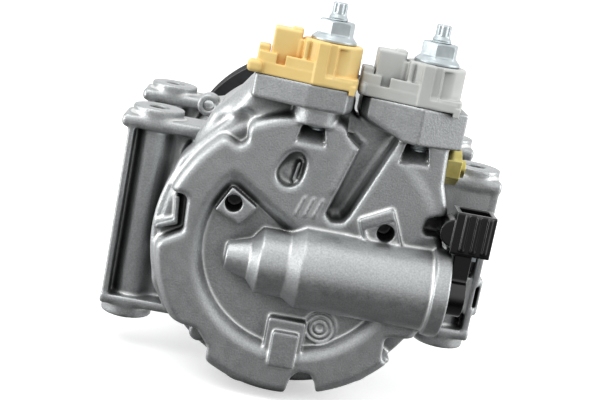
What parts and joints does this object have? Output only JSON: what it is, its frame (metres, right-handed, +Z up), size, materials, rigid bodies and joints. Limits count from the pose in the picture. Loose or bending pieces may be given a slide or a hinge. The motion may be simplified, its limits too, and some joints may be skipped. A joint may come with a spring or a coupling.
{
  "type": "automotive ac compressor",
  "caption": "Variable-displacement swash-plate refrigerant compressor with a ribbed belt pulley, cast mounting ears, capped pipe ports and a side control valve.",
  "frame": {"origin": "on the shaft axis, at the middle plane of the belt on the pulley", "axes": "+Y along the shaft from the rear head to the pulley, +Z up along the mounting bores, +X to the side with the control valve's connector"},
  "size_m": [0.16, 0.2318, 0.163],
  "materials": {
    "cast_aluminium": "satin",
    "machined_aluminium": "satin",
    "steel": "satin",
    "dark_steel": "satin",
    "zinc_plated_steel": "satin",
    "black_coated_steel": "satin",
    "brass": "satin",
    "rubber": "matte",
    "gasket": "matte",
    "black_plastic": "gloss",
    "yellow_plastic": "satin",
    "white_plastic": "satin"
  },
  "bodies": {
    "housing": {"rear_head": "cast_aluminium", "head_gasket": "gasket", "reed_retainer": "dark_steel", "retainer_rivet": "steel", "discharge_reeds": "steel", "valve_plate": "machined_aluminium", "suction_reeds": "steel", "block_gasket": "gasket", "cylinder_block": "cast_aluminium", "housing_gasket": "gasket", "front_housing": "cast_aluminium", "through_bolts": "zinc_plated_steel", "rear_needle_bearing": "steel", "thrust_bearing": "steel", "front_needle_bearing": "steel", "shaft_seal": "rubber", "seal_circlip": "dark_steel", "bearing_inner_ring": "steel", "bearing_circlip": "dark_steel", "control_valve": "brass", "valve_solenoid": "steel", "valve_end_cap": "black_plastic", "connector_pins": "zinc_plated_steel", "valve_o_rings": "rubber", "valve_snap_ring": "dark_steel", "relief_valve": "brass", "relief_seal": "rubber", "left_port_cap": "yellow_plastic", "right_port_cap": "white_plastic", "cap_seals": "rubber", "port_studs": "zinc_plated_steel", "port_nuts": "zinc_plated_steel"},
    "rotor": {"shaft": "steel", "lug_plate": "dark_steel", "pulley": "black_coated_steel", "bearing_outer_ring": "steel", "pulley_hub": "black_coated_steel", "hub_dampers": "rubber", "hub_nut": "zinc_plated_steel"},
    "bearing_cage": {"bearing_balls": "steel"},
    "swash": {"swash_plate": "machined_aluminium", "destroke_spring": "steel"},
    "plunger": {"valve_plunger": "steel"},
    "piston_1_body": {"piston_1": "machined_aluminium"},
    "shoes_1_body": {"shoes_1": "brass"},
    "piston_2_body": {"piston_2": "machined_aluminium"},
    "shoes_2_body": {"shoes_2": "brass"},
    "piston_3_body": {"piston_3": "machined_aluminium"},
    "shoes_3_body": {"shoes_3": "brass"},
    "piston_4_body": {"piston_4": "machined_aluminium"},
    "shoes_4_body": {"shoes_4": "brass"},
    "piston_5_body": {"piston_5": "machined_aluminium"},
    "shoes_5_body": {"shoes_5": "brass"},
    "piston_6_body": {"piston_6": "machined_aluminium"},
    "shoes_6_body": {"shoes_6": "brass"},
    "piston_7_body": {"piston_7": "machined_aluminium"},
    "shoes_7_body": {"shoes_7": "brass"}
  },
  "joints": [
    {"name": "rotor_spin", "type": "hinge", "parent": "housing", "child": "rotor", "pos_m": [0, 0, 0], "axis": [0, 1, 0], "continuous": true},
    {"name": "bearing_cage_spin", "type": "hinge", "parent": "housing", "child": "bearing_cage", "pos_m": [0, 0, 0], "axis": [0, 1, 0], "continuous": true},
    {"name": "swash_tilt", "type": "hinge", "parent": "housing", "child": "swash", "pos_m": [0, -0.108, 0.0375], "axis": [1, 0, 0], "range_deg": [0, 17], "stiffness_Nm_per_rad": 3, "deforming": ["destroke_spring"]},
    {"name": "plunger_slide", "type": "slide", "parent": "housing", "child": "plunger", "axis": [1, 0, 0], "range_m": [0, 0.0015], "stiffness_N_per_m": 800},
    {"name": "piston_1_slide", "type": "slide", "parent": "housing", "child": "piston_1_body", "axis": [0, 1, 0], "range_m": [0, 0.0229]},
    {"name": "shoes_1_rock", "type": "hinge", "parent": "piston_1_body", "child": "shoes_1_body", "pos_m": [0.00651, -0.108, -0.03693], "axis": [1, 0, 0], "range_deg": [0, 18]},
    {"name": "piston_2_slide", "type": "slide", "parent": "housing", "child": "piston_2_body", "axis": [0, 1, 0], "range_m": [0, 0.0172]},
    {"name": "shoes_2_rock", "type": "hinge", "parent": "piston_2_body", "child": "shoes_2_body", "pos_m": [0.03293, -0.108, -0.01793], "axis": [1, 0, 0], "range_deg": [0, 18]},
    {"name": "piston_3_slide", "type": "slide", "parent": "housing", "child": "piston_3_body", "axis": [0, 1, 0], "range_m": [0, 0.0073]},
    {"name": "shoes_3_rock", "type": "hinge", "parent": "piston_3_body", "child": "shoes_3_body", "pos_m": [0.03456, -0.108, 0.01457], "axis": [1, 0, 0], "range_deg": [0, 18]},
    {"name": "piston_4_slide", "type": "slide", "parent": "housing", "child": "piston_4_body", "axis": [0, 1, 0], "range_m": [0, 0.0008]},
    {"name": "shoes_4_rock", "type": "hinge", "parent": "piston_4_body", "child": "shoes_4_body", "pos_m": [0.01016, -0.108, 0.0361], "axis": [1, 0, 0], "range_deg": [0, 18]},
    {"name": "piston_5_slide", "type": "slide", "parent": "housing", "child": "piston_5_body", "axis": [0, 1, 0], "range_m": [0, 0.0025]},
    {"name": "shoes_5_rock", "type": "hinge", "parent": "piston_5_body", "child": "shoes_5_body", "pos_m": [-0.02189, -0.108, 0.03045], "axis": [1, 0, 0], "range_deg": [0, 18]},
    {"name": "piston_6_slide", "type": "slide", "parent": "housing", "child": "piston_6_body", "axis": [0, 1, 0], "range_m": [0, 0.0112]},
    {"name": "shoes_6_rock", "type": "hinge", "parent": "piston_6_body", "child": "shoes_6_body", "pos_m": [-0.03745, -0.108, 0.00187], "axis": [1, 0, 0], "range_deg": [0, 18]},
    {"name": "piston_7_slide", "type": "slide", "parent": "housing", "child": "piston_7_body", "axis": [0, 1, 0], "range_m": [0, 0.0203]},
    {"name": "shoes_7_rock", "type": "hinge", "parent": "piston_7_body", "child": "shoes_7_body", "pos_m": [-0.02481, -0.108, -0.02812], "axis": [1, 0, 0], "range_deg": [0, 18]}
  ],
  "couplings": [
    {"joint": "bearing_cage_spin", "follows": "rotor_spin", "ratio": 0.55},
    {"joint": "piston_1_slide", "follows": "swash_tilt", "m_per_rad": 0.076142},
    {"joint": "shoes_1_rock", "follows": "swash_tilt", "ratio": 1},
    {"joint": "piston_2_slide", "follows": "swash_tilt", "m_per_rad": 0.05671},
    {"joint": "shoes_2_rock", "follows": "swash_tilt", "ratio": 1},
    {"joint": "piston_3_slide", "follows": "swash_tilt", "m_per_rad": 0.023461},
    {"joint": "shoes_3_rock", "follows": "swash_tilt", "ratio": 1},
    {"joint": "piston_4_slide", "follows": "swash_tilt", "m_per_rad": 0.001434},
    {"joint": "shoes_4_rock", "follows": "swash_tilt", "ratio": 1},
    {"joint": "piston_5_slide", "follows": "swash_tilt", "m_per_rad": 0.007215},
    {"joint": "shoes_5_rock", "follows": "swash_tilt", "ratio": 1},
    {"joint": "piston_6_slide", "follows": "swash_tilt", "m_per_rad": 0.03645},
    {"joint": "shoes_6_rock", "follows": "swash_tilt", "ratio": 1},
    {"joint": "piston_7_slide", "follows": "swash_tilt", "m_per_rad": 0.067126},
    {"joint": "shoes_7_rock", "follows": "swash_tilt", "ratio": 1}
  ]
}
